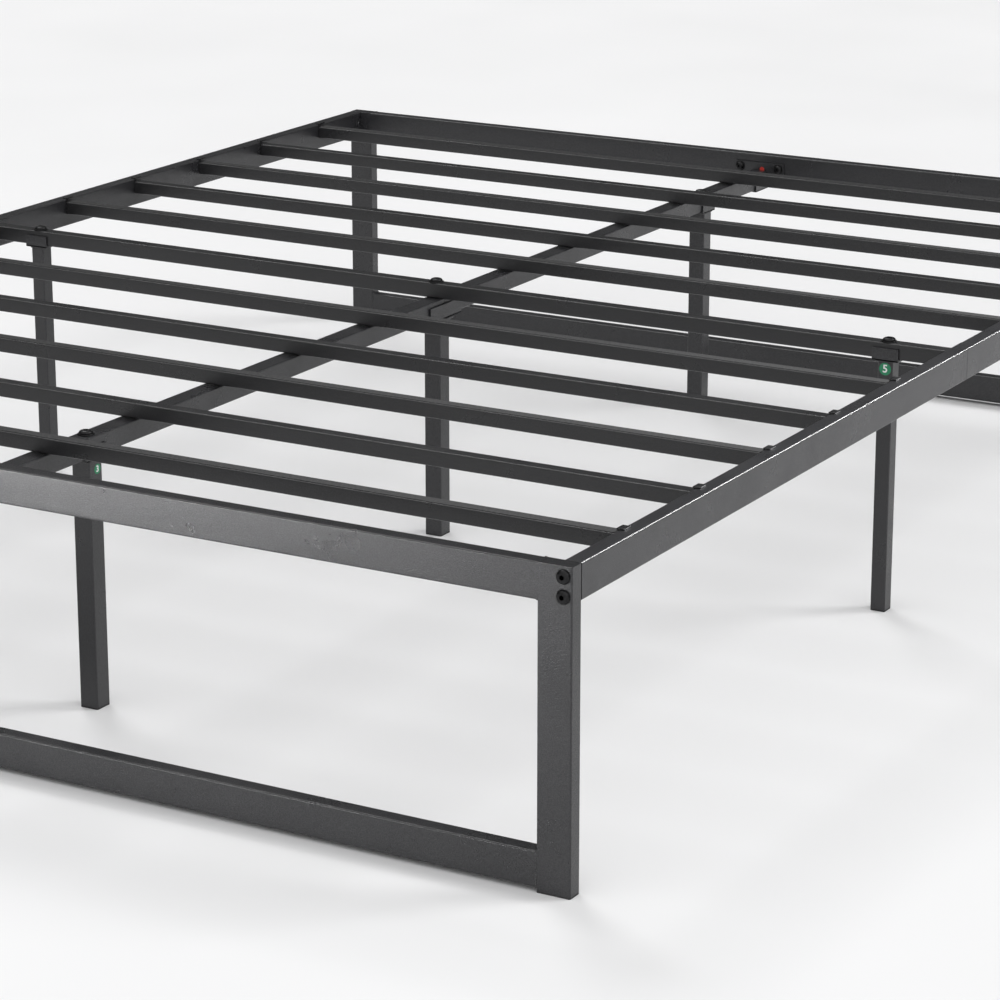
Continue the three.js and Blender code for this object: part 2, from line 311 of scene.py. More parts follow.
@dataclass(frozen=True)
class PrintedPaper:
    """Coated label paper in one ink, with faint fibres."""

    name: str
    ink: tuple
    worn: float = 0.86
    rough: tuple = (0.4, 0.55)
    fibre: float = 3000.0

    def build(self) -> bpy.types.Material:
        """Makes the material."""
        sheet = NodeSheet(self.name)
        fibre = sheet.noise(self.fibre, 3.0, 0.6)
        worn_ink = tuple(channel * self.worn for channel in self.ink)
        sheet.paint(fibre, (0.35, worn_ink), (0.65, self.ink))
        sheet.gloss(fibre, *self.rough)
        sheet.relief((fibre, 0.02 * MM, 0.3))
        return sheet.material


@dataclass(frozen=True)
class StudioPaper:
    """Seamless pale studio floor with a very faint mottle."""

    name: str = "studio_floor"
    tone: tuple = (0.83, 0.83, 0.835)
    shade: float = 0.985
    rough: tuple = (0.5, 0.6)
    mottle: float = 1.3
    specular: float = 0.3

    def build(self) -> bpy.types.Material:
        """Makes the material."""
        sheet = NodeSheet(self.name)
        mottle = sheet.noise(self.mottle, 3.0, 0.5)
        shaded = tuple(channel * self.shade for channel in self.tone)
        sheet.paint(mottle, (0.3, shaded), (0.7, self.tone))
        sheet.gloss(mottle, *self.rough)
        sheet.shader.inputs["Specular IOR Level"].default_value = self.specular
        return sheet.material


class Paintbox:
    """Every finish of the bed frame, made once."""

    def __init__(self) -> None:
        """Makes the finishes."""
        self.coat = PowderCoat().build()
        self.slat_coat = PowderCoat("satin_slat_coat", (0.005, 0.005, 0.0056), (0.018, 0.018, 0.0195),
                                    cloud=9.0).build()
        self.oxide = BlackOxide().build()
        self.plastic = MouldedPlastic().build()
        self.grip = GripTape().build()
        # painted highlight for the slat tab ends, not a real bare-steel finish
        self.tab_highlight = PaintedEdgeHighlight().build()
        self.green = PrintedPaper("label_green", (0.012, 0.2, 0.09)).build()
        self.white = PrintedPaper("label_white", (0.75, 0.76, 0.75)).build()
        self.red = PrintedPaper("label_red", (0.5, 0.03, 0.02)).build()


# ------------------------------------------------------------------ mesh tools


class Shaper:
    """One piece's mesh while it is being shaped."""

    def __init__(self) -> None:
        """Starts an empty mesh."""
        self.bm = bmesh.new()

    def _long_edges(self, faces: list, axis: Axis) -> list:
        """Finds the edges that run along an axis.

        Args:
            faces: The faces whose edges are looked at.
            axis: The axis.
        Returns:
            The edges found.
        """
        found = []
        for edge in {edge for face in faces for edge in face.edges}:
            run = edge.verts[1].co - edge.verts[0].co
            if abs(run.normalized()[axis.value]) > ALONG:
                found.append(edge)
        return found

    def box(self, low: Vector, high: Vector) -> list:
        """Adds a box.

        Args:
            low: Its lowest corner.
            high: Its highest corner.
        Returns:
            The box's faces.
        """
        size = high - low
        place = Matrix.Translation((low + high) / 2) @ Matrix.Diagonal((*size, 1.0))
        made = bmesh.ops.create_cube(self.bm, size=1.0, matrix=place)
        return list({face for vert in made["verts"] for face in vert.link_faces})

    def plate(self, low: Vector, high: Vector, bevel: float = 0.5 * MM) -> None:
        """Adds a box with all its edges softened.

        Args:
            low: Its lowest corner.
            high: Its highest corner.
            bevel: How far the edges are softened.
        """
        faces = self.box(low, high)
        edges = list({edge for face in faces for edge in face.edges})
        bmesh.ops.bevel(self.bm, geom=edges, offset=bevel, segments=2, profile=0.5,
                        affect="EDGES", material=-1, clamp_overlap=True)

    def tube(self, low: Vector, high: Vector, axis: Axis, radius: float, wall: float,
             recess: float = 30.0 * MM, rim: float = 0.35 * MM) -> None:
        """Adds a round-cornered tube whose ends are open down to a recess.

        Args:
            low: Lowest corner of the tube.
            high: Highest corner of the tube.
            axis: The way the tube runs.
            radius: Corner radius.
            wall: Wall thickness.
            recess: How deep each open end is hollow.
            rim: Softening of the end edges.
        """
        faces = self.box(low, high)
        result = bmesh.ops.bevel(self.bm, geom=self._long_edges(faces, axis), offset=radius, segments=5,
                                 profile=0.5, affect="EDGES", material=-1)
        verts = {vert for face in result["faces"] for vert in face.verts}
        ends = {face for vert in verts for face in vert.link_faces
                if abs(face.normal[axis.value]) > ALONG}
        for end in ends:
            softened = bmesh.ops.bevel(self.bm, geom=list(end.edges), offset=rim, segments=2, profile=0.5,
                                       affect="EDGES", material=-1)
            cap = max((face for edge in softened["edges"] for face in edge.link_faces
                       if abs(face.normal[axis.value]) > ALONG), key=lambda face: face.calc_area())
            inward = Vector((0, 0, 0))
            inward[axis.value] = -math.copysign(recess, cap.normal[axis.value])
            bmesh.ops.inset_region(self.bm, faces=[cap], thickness=wall, use_even_offset=True)
            pushed = bmesh.ops.extrude_face_region(self.bm, geom=[cap])
            moved = [item for item in pushed["geom"] if isinstance(item, bmesh.types.BMVert)]
            bmesh.ops.translate(self.bm, verts=moved, vec=inward)
            bmesh.ops.delete(self.bm, geom=[cap], context="FACES_ONLY")

    def bar(self, low: Vector, high: Vector, axis: Axis, radius: float, soft: float) -> None:
        """Adds a solid round-cornered bar with softened ends.

        Args:
            low: Lowest corner.
            high: Highest corner.
            axis: The way its corner edges run.
            radius: Corner radius.
            soft: Softening of the end edges.
        """
        faces = self.box(low, high)
        result = bmesh.ops.bevel(self.bm, geom=self._long_edges(faces, axis), offset=radius, segments=5,
                                 profile=0.5, affect="EDGES", material=-1)
        verts = {vert for face in result["faces"] for vert in face.verts}
        ends = {face for vert in verts for face in vert.link_faces
                if abs(face.normal[axis.value]) > ALONG}
        rims = [edge for end in ends for edge in end.edges]
        bmesh.ops.bevel(self.bm, geom=rims, offset=soft, segments=2, profile=0.5,
                        affect="EDGES", material=-1)

    def loops(self, profile: list[tuple[float, float, int]], place: Matrix) -> None:
        """Adds a closed turned shape from rings bridged one after another.

        Args:
            profile: Rings as radius, height and number of corners, from the bottom up.
            place: Where the shape's own Z axis goes.
        """
        rings = []
        for radius, height, corners in profile:
            ring = bmesh.ops.create_circle(self.bm, cap_ends=False, segments=corners, radius=radius,
                                           matrix=place @ Matrix.Translation((0, 0, height)))
            members = set(ring["verts"])
            rings.append(list(dict.fromkeys(
                edge for vert in ring["verts"] for edge in vert.link_edges if members.issuperset(edge.verts))))
        for lower, upper in zip(rings, rings[1:]):
            bmesh.ops.bridge_loops(self.bm, edges=lower + upper)
        for ring in (rings[0], rings[-1]):
            bmesh.ops.edgeloop_fill(self.bm, edges=ring)

    def beads(self, start: Vector, end: Vector, radius: float, seed: int) -> None:
        """Adds a weld bead as a row of overlapping flattened drops.

        Args:
            start: Where the bead starts.
            end: Where the bead ends.
            radius: Half the bead's width.
            seed: Seed of the bead's unevenness.
        """
        luck = random.Random(seed)
        count = max(2, round((end - start).length / (radius * 0.75)))
        for step in range(count + 1):
            centre = start.lerp(end, step / count)
            size = radius * luck.uniform(0.85, 1.15)
            drift = Vector([luck.uniform(-0.08, 0.08) * radius for _ in range(3)])
            turn = Euler([luck.uniform(0, math.pi) for _ in range(3)]).to_matrix().to_4x4()
            bmesh.ops.create_icosphere(self.bm, subdivisions=1, radius=size,
                                       matrix=Matrix.Translation(centre + drift) @ turn)

    def finish(self, name: str, material: bpy.types.Material,
               replaces: tuple = ()) -> None:
        """Turns the shaped mesh into a piece of the bed frame.

        Args:
            name: The piece's name.
            material: Its finish.
            replaces: CAD nodes that it stands for.
        """
        bmesh.ops.recalc_face_normals(self.bm, faces=self.bm.faces)
        for face in self.bm.faces:
            face.smooth = True
        for edge in self.bm.edges:
            if len(edge.link_faces) == 2:
                edge.smooth = edge.calc_face_angle() < SMOOTH_ANGLE
        mesh = bpy.data.meshes.new(name)
        self.bm.to_mesh(mesh)
        self.bm.free()
        mesh.materials.append(material)
        piece = bpy.data.objects.new(name, mesh)
        bpy.context.scene.collection.objects.link(piece)
        weighted = piece.modifiers.new("Weighted normals", "WEIGHTED_NORMAL")
        weighted.keep_sharp = True
        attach(piece, BODY)
        if replaces:
            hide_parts(*replaces)
        LOG.info("made %s, %d faces", name, len(mesh.polygons))


def towards(origin: Vector, direction: Vector) -> Matrix:
    """A placement at origin whose own Z axis points along direction."""
    return Matrix.Translation(origin) @ direction.to_track_quat("Z", "Y").to_matrix().to_4x4()


def button_head(shaper: Shaper, origin: Vector, direction: Vector, radius: float, height: float) -> None:
    """Adds a domed screw head with a hexagon socket.

    Args:
        shaper: The mesh it is added to.
        origin: The middle of its seat.
        direction: The way the head faces.
        radius: Head radius.
        height: Head height.
    """
    socket = radius * 0.38
    profile = [(radius * 0.96, 0.0, ROUND), (radius, height * 0.12, ROUND), (radius, height * 0.3, ROUND),
               (radius * 0.94, height * 0.6, ROUND), (radius * 0.82, height * 0.84, ROUND),
               (radius * 0.62, height, ROUND), (socket, height, 6), (socket * 0.97, height * 0.3, 6)]
    shaper.loops(profile, towards(origin, direction))


def washer(shaper: Shaper, origin: Vector, direction: Vector, radius: float, thickness: float) -> None:
    """Adds a thin round disc, such as a washer under a head.

    Args:
        shaper: The mesh it is added to.
        origin: The middle of its seat.
        direction: The way it faces.
        radius: Its radius.
        thickness: Its thickness.
    """
    edge = thickness * 0.3
    profile = [(radius - edge, 0.0, ROUND), (radius, edge, ROUND), (radius, thickness - edge, ROUND),
               (radius - edge, thickness, ROUND)]
    shaper.loops(profile, towards(origin, direction))


def moulded_end(node: str, tube: str, radius: float, inset: float, soft: float, paint: Paintbox) -> None:
    """Builds a moulded plastic end: a flange with a softened sole, and a plug up the tube.

    Args:
        node: The CAD node it stands for.
        tube: The CAD node of the tube above it.
        radius: Corner radius of the flange.
        inset: How far the plug stands in from the flange.
        soft: Softening of the plug's end.
        paint: The finishes.
    """
    low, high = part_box(node)
    flange_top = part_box(tube)[0].z
    step = Vector((inset, inset, 0))
    plug_low = Vector((low.x, low.y, flange_top - 0.6 * MM)) + step
    shaper = Shaper()
    shaper.bar(low, Vector((high.x, high.y, flange_top - 0.1 * MM)), Axis.Z, radius, 0.4 * MM)
    shaper.bar(plug_low, high - step, Axis.Z, MM, soft)
    shaper.finish(f"{node}_moulding", paint.plastic, (node,))


def sides() -> tuple[tuple[str, int], ...]:
    """The two sides of the bed with their sign along X."""
    return (("left", -1), ("right", 1))


def ends() -> tuple[tuple[str, int], ...]:
    """The two ends of the bed with their sign along Y."""
    return (("foot", -1), ("head", 1))


# ------------------------------------------------------------------ sub-assemblies


@dataclass
class EndFrame:
    """A welded end frame: two legs, a top rail, a stretcher, its welds, caps and corner plates."""

    end: str
    sign: int
    paint: Paintbox
    radius: float = 2.0 * MM
    wall: float = 1.5 * MM
    plug_inset: float = 1.8 * MM
    lid_height: float = 30.0 * MM
    lid_inset: float = 0.5 * MM
    lid_drop: float = 0.15 * MM
    seam_reach: float = 3.0 * MM
    proud: float = 0.05 * MM
    bead: float = 2.0 * MM
    sink: float = 0.6
    angle_leg: float = 13.0 * MM
    angle_rail: float = 15.0 * MM
    angle_sheet: float = 1.6 * MM
    angle_height: float = 30.0 * MM
    angle_drop: float = 9.0 * MM
    angle_gap: float = 0.1 * MM
    screw_drops: tuple = (8.0 * MM, 22.0 * MM)
    screw_radius: float = 3.0 * MM
    screw_height: float = 1.6 * MM
    screw_share: float = 0.62

    def build(self) -> None:
        """Builds every piece of the end frame."""
        self.tubes()
        self.flush_seams()
        self.rough_welds()
        self.caps()
        self.corner_plates()

    def tubes(self) -> None:
        """The four tubes, with a lid inside the top of each leg."""
        for side, _ in sides():
            node = f"{self.end}_leg_{side}"
            low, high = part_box(node)
            shaper = Shaper()
            shaper.tube(low, high, Axis.Z, self.radius, self.wall)
            lid_bottom = high.z - self.lid_height - self.lid_inset
            shaper.bar(Vector((low.x + self.wall, low.y + self.wall, lid_bottom)),
                       high - Vector((self.lid_inset, self.lid_inset, self.lid_drop)),
                       Axis.Z, self.radius, 0.3 * MM)
            shaper.finish(f"{node}_tube", self.paint.coat, (node,))
        for part in ("top_rail", "stretcher"):
            node = f"{self.end}_{part}"
            shaper = Shaper()
            shaper.tube(*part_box(node), Axis.X, self.radius, self.wall)
            shaper.finish(f"{node}_tube", self.paint.coat, (node,))

    def joints(self, part: str) -> list[tuple[float, Vector, Vector]]:
        """Where a cross tube meets the two legs.

        Args:
            part: The cross tube's name.
        Returns:
            For each side the joint's X, and the cross tube's lowest and highest corners.
        """
        low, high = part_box(f"{self.end}_{part}")
        found = []
        for side, sign in sides():
            leg_low, leg_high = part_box(f"{self.end}_leg_{side}")
            face = leg_high.x if sign < 0 else leg_low.x
            edge = low.x if sign < 0 else high.x
            found.append(((face + edge) / 2, low, high))
        return found

    def flush_seams(self) -> None:
        """Ground-flush weld metal between the top rail and the legs."""
        shaper = Shaper()
        grown = Vector((self.seam_reach, self.proud, self.proud))
        for x, low, high in self.joints("top_rail"):
            shaper.bar(Vector((x, low.y, low.z)) - grown, Vector((x, high.y, high.z)) + grown,
                       Axis.X, self.radius, self.proud)
        shaper.finish(f"{self.end}_top_seams", self.paint.coat)

    def rough_welds(self) -> None:
        """Unground beads around the stretcher's ends and under the top rail's ends."""
        for part in ("stretcher", "top_rail"):
            shaper = Shaper()
            for number, (x, low, high) in enumerate(self.joints(part)):
                sink = self.bead * self.sink
                near, far, under, over = low.y + sink, high.y - sink, low.z + sink, high.z - sink
                corners = [Vector((x, *place))
                           for place in ((near, under), (far, under), (far, over), (near, over))]
                runs = [(0, 1), (1, 2), (2, 3), (3, 0)] if part == "stretcher" else [(0, 1), (1, 2)]
                for first, second in runs:
                    seed = number * 10 + first
                    shaper.beads(corners[first], corners[second], self.bead, seed)
            shaper.finish(f"{self.end}_{part}_welds", self.paint.coat)

    def caps(self) -> None:
        """Moulded caps under the legs."""
        for side, _ in sides():
            leg = f"{self.end}_leg_{side}"
            moulded_end(f"{leg}_cap", leg, self.radius, self.plug_inset, 0.4 * MM, self.paint)

    def corner_plates(self) -> None:
        """Bent angle plates inside the corner, between the top rail and the side rail."""
        rail_low, rail_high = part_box(f"{self.end}_top_rail")
        inner = rail_high.y if self.sign < 0 else rail_low.y
        away = -self.sign
        top = rail_high.z - self.angle_drop
        bottom = top - self.angle_height
        gap, sheet = self.angle_gap, self.angle_sheet
        for side, sign in sides():
            side_low, side_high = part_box(f"side_rail_{side}_{self.end}_half")
            wall = side_high.x if sign < 0 else side_low.x
            shaper = Shaper()
            for across, along in ((self.angle_leg, gap + sheet), (gap + sheet, self.angle_rail)):
                near_x, far_x = sorted((wall - sign * gap, wall - sign * across))
                near_y, far_y = sorted((inner + away * gap, inner + away * along))
                shaper.plate(Vector((near_x, near_y, bottom)), Vector((far_x, far_y, top)))
            for drop in self.screw_drops:
                seat = Vector((wall - sign * (gap + sheet),
                               inner + away * self.angle_rail * self.screw_share, top - drop))
                button_head(shaper, seat, Vector((-sign, 0, 0)), self.screw_radius, self.screw_height)
            shaper.finish(f"{self.end}_corner_plate_{side}", self.paint.coat)


@dataclass
class SideRail:
    """A side rail in two halves with its inner splice plate and screws."""

    side: str
    sign: int
    paint: Paintbox
    radius: float = 2.0 * MM
    wall: float = 1.5 * MM
    screw_reach: float = 22.0 * MM
    screw_radius: float = 5.0 * MM
    screw_height: float = 2.6 * MM
    screw_shares: tuple = (0.27, 0.73)

    def build(self) -> None:
        """Builds both halves and the splice."""
        for end, _ in ends():
            node = f"side_rail_{self.side}_{end}_half"
            shaper = Shaper()
            shaper.tube(*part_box(node), Axis.Y, self.radius, self.wall)
            shaper.finish(f"{node}_tube", self.paint.coat, (node,))
        self.splice()

    def splice(self) -> None:
        """The splice plate with two screws either side of the joint."""
        node = f"rail_splice_{self.side}"
        low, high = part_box(node)
        shaper = Shaper()
        shaper.plate(low, high, 0.6 * MM)
        face = low.x if self.sign > 0 else high.x
        for way in (-1, 1):
            for share in self.screw_shares:
                seat = Vector((face, way * self.screw_reach, low.z + (high.z - low.z) * share))
                button_head(shaper, seat, Vector((-self.sign, 0, 0)), self.screw_radius, self.screw_height)
        shaper.finish(f"{node}_plate", self.paint.coat, (node,))


@dataclass
class SlatSet:
    """The eleven cross slats with their bent end tabs, a painted highlight on each tab's end, and grip strips.
    """

    paint: Paintbox
    count: int = 11
    radius: float = 1.6 * MM
    wall: float = 1.2 * MM
    middle_wall: float = 1.5 * MM
    height: float = 18.0 * MM
    tab_width: float = 14.0 * MM
    tab_sheet: float = 1.5 * MM
    riser: float = 2.0 * MM
    bead: float = 1.1 * MM
    strip_height: float = 0.8 * MM
    strip_inset: float = 1.6 * MM
    strip_end: float = 3.0 * MM
    strip_radius: float = 4.0 * MM
    inner: float = field(init=False)

    def __post_init__(self) -> None:
        """Finds the inner face of the side rails."""
        self.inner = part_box("side_rail_right_foot_half")[0].x

    def build(self) -> None:
        """Builds every slat, with a grip strip on every second one."""
        middle = (self.count + 1) // 2
        for number in range(1, self.count + 1):
            node = f"slat_{number:02d}"
            if number == middle:
                shaper = Shaper()
                shaper.tube(*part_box(node), Axis.X, self.radius, self.middle_wall)
                shaper.finish(f"{node}_tube", self.paint.slat_coat, (node,))
                continue
            self.slat(node)
            if number % 2:
                self.grip_strip(node)

    def slat(self, node: str) -> None:
        """One slat tube with a bent tab at each end.

        Args:
            node: The CAD node it stands for.
        """
        low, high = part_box(node)
        reach = self.inner - FIT_GAP
        top = low.z + self.height
        shaper = Shaper()
        shaper.tube(Vector((-reach, low.y, low.z)), Vector((reach, high.y, top)),
                    Axis.X, self.radius, self.wall)
        centre = (low.y + high.y) / 2
        front, back = centre - self.tab_width / 2, centre + self.tab_width / 2
        tab_bottom = high.z - self.tab_sheet
        # this mesh holds the painted highlights: bright slivers on the tab ends where light catches the cut
        # edge
        edges = Shaper()
        seed = round(abs(centre) * 1000)
        for _, sign in sides():
            near, far = sorted((sign * (reach - self.riser), sign * reach))
            shaper.plate(Vector((near, front, top - MM)), Vector((far, back, high.z)), 0.4 * MM)
            near, far = sorted((sign * (reach - self.riser), sign * (high.x - 0.25 * MM)))
            shaper.plate(Vector((near, front, tab_bottom)), Vector((far, back, high.z)), 0.45 * MM)
            # a thin bright sliver on the tab's end face: painted highlight
            near, far = sorted((sign * (high.x - 0.3 * MM), sign * high.x))
            edges.plate(Vector((near, front + 0.5 * MM, tab_bottom + 0.2 * MM)),
                        Vector((far, back - 0.5 * MM, high.z - 0.25 * MM)), 0.1 * MM)
            start = Vector((sign * (reach - self.riser - 0.4 * MM), front, top))
            shaper.beads(start, start + Vector((0, self.tab_width, 0)), self.bead, seed + sign)
        shaper.finish(f"{node}_tube", self.paint.slat_coat, (node,))
        # the tab ends' painted highlight gets its own bright material
        edges.finish(f"{node}_tab_edges", self.paint.tab_highlight)

    def grip_strip(self, node: str) -> None:
        """A thin grip strip along the top of a slat.

        Args:
            node: The slat that it lies on.
        """
        low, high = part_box(node)
        reach = self.inner - self.strip_end
        top = low.z + self.height
        shaper = Shaper()
        shaper.bar(Vector((-reach, low.y + self.strip_inset, top - 0.1 * MM)),
                   Vector((reach, high.y - self.strip_inset, top + self.strip_height)),
                   Axis.Z, self.strip_radius, 0.4 * MM)
        shaper.finish(f"{node}_grip_strip", self.paint.grip)


@dataclass
class CentreBeam:
    """The lengthwise beam in two halves, its splice channel and its end brackets."""

    paint: Paintbox
    radius: float = 2.0 * MM
    wall: float = 1.5 * MM
    sheet: float = 2.4 * MM
    bracket_sheet: float = 3.0 * MM
    cheek: float = 2.0 * MM
    cheek_height: float = 18.0 * MM
    plate_height: float = 17.0 * MM
    plate_lap: float = 2.0 * MM
    screw_spread: float = 33.0 * MM
    screw_radius: float = 6.5 * MM
    screw_height: float = 4.0 * MM
    washer_radius: float = 8.0 * MM
    washer_sheet: float = 1.2 * MM

    def build(self) -> None:
        """Builds the beam and what holds it."""
        for end, _ in ends():
            node = f"centre_beam_{end}_half"
            shaper = Shaper()
            shaper.tube(*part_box(node), Axis.Y, self.radius, self.wall)
            shaper.finish(f"{node}_tube", self.paint.coat, (node,))
        self.splice()
        for end, sign in ends():
            self.bracket(end, sign)

    def channel(self, shaper: Shaper, low: Vector, high: Vector, floor: float, cheek: float) -> None:
        """Adds a U of sheet that opens upwards, for a beam that runs along Y.

        Args:
            shaper: The mesh it is added to.
            low: Lowest corner of the U.
            high: Highest corner of the U.
            floor: Thickness of its floor.
            cheek: Thickness of its cheeks.
        """
        shaper.plate(low, Vector((high.x, high.y, low.z + floor)))
        shaper.plate(low, Vector((low.x + cheek, high.y, high.z)))
        shaper.plate(Vector((high.x - cheek, low.y, low.z)), high)

    def splice(self) -> None:
        """The splice channel under the joint of the two halves."""
        low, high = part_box("beam_splice")
        shaper = Shaper()
        self.channel(shaper, low, high, self.sheet, self.sheet)
        shaper.finish("beam_splice_channel", self.paint.coat, ("beam_splice",))

    def bracket(self, end: str, sign: int) -> None:
        """The bracket on an end frame's top rail.

        Args:
            end: The end that it is at.
            sign: The end's sign along Y.
        """
        node = f"beam_bracket_{end}"
        low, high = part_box(node)
        beam_low, beam_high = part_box(f"centre_beam_{end}_half")
        back = low.y if sign < 0 else high.y
        front = back - sign * self.bracket_sheet
        near, far = sorted((back, front))
        plate_bottom = high.z - self.plate_height
        outer = (beam_high.x - beam_low.x) / 2 + FIT_GAP + self.cheek
        shaper = Shaper()
        shaper.plate(Vector((low.x, near, plate_bottom)), Vector((high.x, far, high.z)), 0.7 * MM)
        shaper.plate(Vector((-outer, near, low.z)), Vector((outer, far, plate_bottom + self.plate_lap)),
                     0.6 * MM)
        holder_top = low.z + self.cheek + self.cheek_height
        self.channel(shaper, Vector((-outer, low.y, low.z)), Vector((outer, high.y, holder_top)),
                     self.cheek, self.cheek)
        shaper.finish(f"{node}_sheet", self.paint.coat, (node,))
        screws = Shaper()
        facing = Vector((0, -sign, 0))
        for way in (-1, 1):
            seat = Vector((way * self.screw_spread, front, high.z - self.plate_height / 2))
            washer(screws, seat, facing, self.washer_radius, self.washer_sheet)
            button_head(screws, seat + facing * self.washer_sheet, facing,
                        self.screw_radius, self.screw_height)
        screws.finish(f"{node}_screws", self.paint.oxide)


@dataclass
class SupportLeg:
    """A support leg with its saddle, moulded foot and bolt."""

    name: str
    paint: Paintbox
    along: Axis
    size: float = 25.0 * MM
    radius: float = 2.0 * MM
    wall: float = 1.5 * MM
    saddle_sheet: float = 3.0 * MM
    cheek: float = 2.0 * MM
    cheek_height: float = 14.0 * MM
    open_saddle: bool = False
    bead: float = 1.3 * MM
    plug_inset: float = 2.0 * MM
    seat_drop: float = 5.0 * MM
    head: float = 8.2 * MM
    head_height: float = 3.8 * MM
    washer_radius: float = 10.0 * MM
    washer_sheet: float = 1.4 * MM
    washer_sink: float = 0.2 * MM
    shank: float = 4.0 * MM

    def build(self) -> None:
        """Builds the leg, foot and bolt."""
        self.leg()
        self.foot()
        self.bolt()

    def leg(self) -> None:
        """The leg tube with its welded saddle."""
        node = f"support_leg_{self.name}"
        low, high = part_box(node)
        centre = (low + high) / 2
        half = self.size / 2
        floor_top = high.z if self.open_saddle else high.z - self.cheek_height
        floor_low = floor_top - self.saddle_sheet
        shaper = Shaper()
        shaper.tube(Vector((centre.x - half, centre.y - half, low.z)),
                    Vector((centre.x + half, centre.y + half, floor_low + 0.2 * MM)),
                    Axis.Z, self.radius, self.wall)
        shaper.plate(Vector((low.x, low.y, floor_low)), Vector((high.x, high.y, floor_top)), 0.7 * MM)
        if not self.open_saddle:
            across = 1 - self.along.value
            for sign in (-1, 1):
                cheek_low = Vector((low.x, low.y, floor_low))
                cheek_high = Vector((high.x, high.y, high.z))
                if sign < 0:
                    cheek_high[across] = cheek_low[across] + self.cheek
                else:
                    cheek_low[across] = cheek_high[across] - self.cheek
                shaper.plate(cheek_low, cheek_high, 0.6 * MM)
        corners = [Vector((centre.x + sx * half, centre.y + sy * half, floor_low - 0.3 * MM))
                   for sx, sy in ((-1, -1), (1, -1), (1, 1), (-1, 1))]
        for number, corner in enumerate(corners):
            following = corners[(number + 1) % len(corners)]
            shaper.beads(corner, following, self.bead, number + round(low.z * 1000))
        shaper.finish(f"{node}_tube", self.paint.coat, (node,))

    def foot(self) -> None:
        """The moulded foot."""
        moulded_end(f"support_foot_{self.name}", f"support_leg_{self.name}", self.radius,
                    self.plug_inset, 0.5 * MM, self.paint)

    def bolt(self) -> None:
        """The domed bolt with its washer and shank."""
        node = f"support_bolt_{self.name}"
        low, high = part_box(node)
        centre = (low + high) / 2
        seat = Vector((centre.x, centre.y, high.z - self.seat_drop - self.washer_sink))
        up = Vector((0, 0, 1))
        shaper = Shaper()
        washer(shaper, seat, up, self.washer_radius, self.washer_sheet)
        button_head(shaper, seat + up * self.washer_sheet, up, self.head, self.head_height)
        length = high.z - self.seat_drop - low.z
        shank = [(self.shank - 0.4 * MM, 0.0, ROUND), (self.shank, MM, ROUND), (self.shank, length, ROUND)]
        shaper.loops(shank, Matrix.Translation((centre.x, centre.y, low.z)))
        shaper.finish(f"{node}_steel", self.paint.oxide, (node,))


@dataclass
class CornerBolts:
    """The bolts through the end-frame legs into the side rails."""

    paint: Paintbox
    head: float = 7.6 * MM
    head_height: float = 3.4 * MM
    washer_radius: float = 8.0 * MM
    washer_sheet: float = 0.6 * MM
    shank: float = 4.0 * MM

    def build(self) -> None:
        """Builds all eight bolts."""
        for end, sign in ends():
            for side, _ in sides():
                for level in ("upper", "lower"):
                    self.bolt(f"corner_bolt_{end}_{side}_{level}", sign)

    def bolt(self, node: str, sign: int) -> None:
        """One corner bolt.

        Args:
            node: The CAD node it stands for.
            sign: The end's sign along Y.
        """
        low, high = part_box(node)
        centre = (low + high) / 2
        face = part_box("foot_leg_right")[0].y if sign < 0 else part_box("head_leg_right")[1].y
        out = Vector((0, sign, 0))
        seat = Vector((centre.x, face, centre.z))
        shaper = Shaper()
        washer(shaper, seat, out, self.washer_radius, self.washer_sheet)
        button_head(shaper, seat + out * self.washer_sheet, out, self.head, self.head_height)
        inner = high.y if sign < 0 else low.y
        length = abs(inner - face)
        shank = [(self.shank - 0.5 * MM, 0.0, ROUND), (self.shank, MM, ROUND), (self.shank, length, ROUND)]
        shaper.loops(shank, towards(Vector((centre.x, inner, centre.z)), out))
        shaper.finish(f"{node}_steel", self.paint.oxide, (node,))


